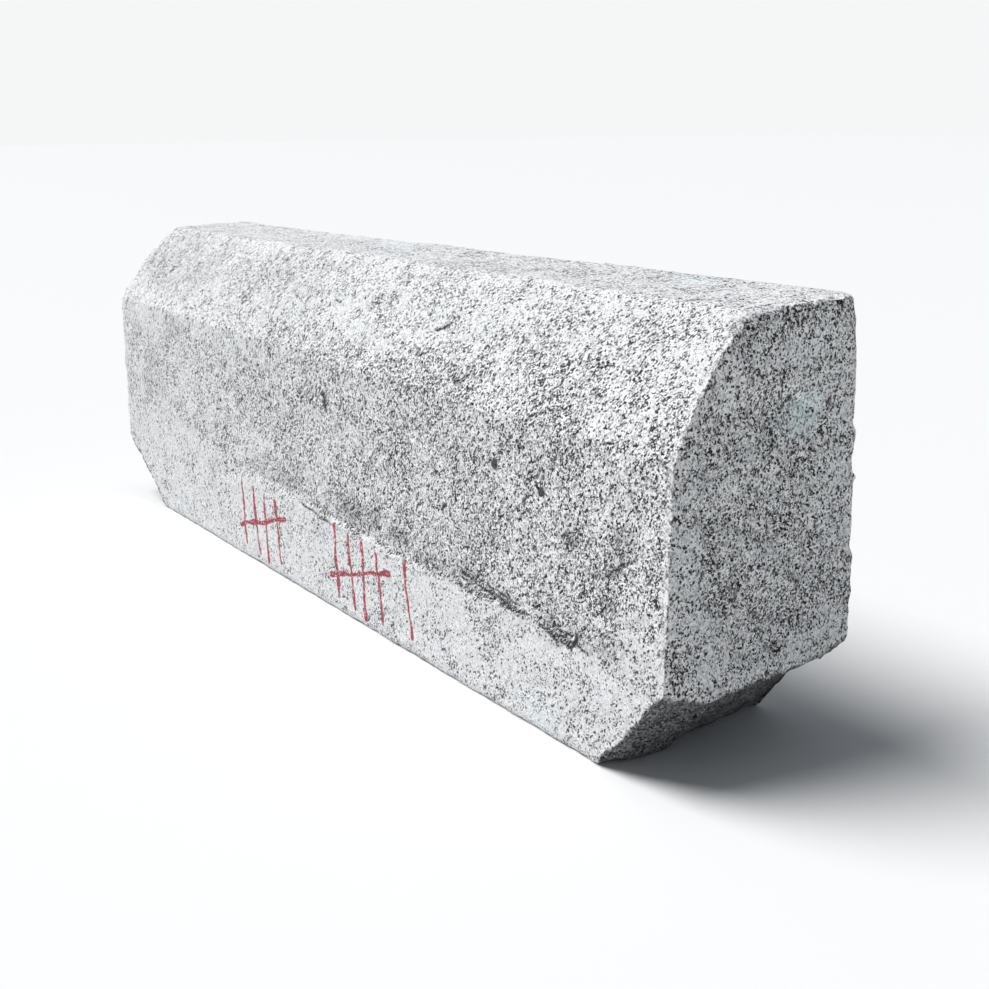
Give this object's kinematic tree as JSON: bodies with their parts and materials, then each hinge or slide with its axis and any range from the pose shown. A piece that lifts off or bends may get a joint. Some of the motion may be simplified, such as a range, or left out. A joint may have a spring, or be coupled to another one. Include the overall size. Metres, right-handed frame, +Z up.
{
  "type": "granite kerb stone",
  "caption": "Hewn granite kerb stone with a dressed top, a broad bevel to the road, square joint ends, a split back and broken-away lower corners.",
  "frame": {"origin": "middle of the bed's outline box, on the level the stone stands on", "axes": "+X along the kerb towards the joint end with the shorter broken corner, +Y from the road face to the back, +Z up"},
  "size_m": [0.95, 0.162, 0.304],
  "materials": {
    "granite": "white and grey granite with black mica flecks, bush-hammered margins, rough split faces and a red mason's tally in paint"
  },
  "bodies": {
    "root": {"kerb_stone": "granite"}
  },
  "joints": []
}
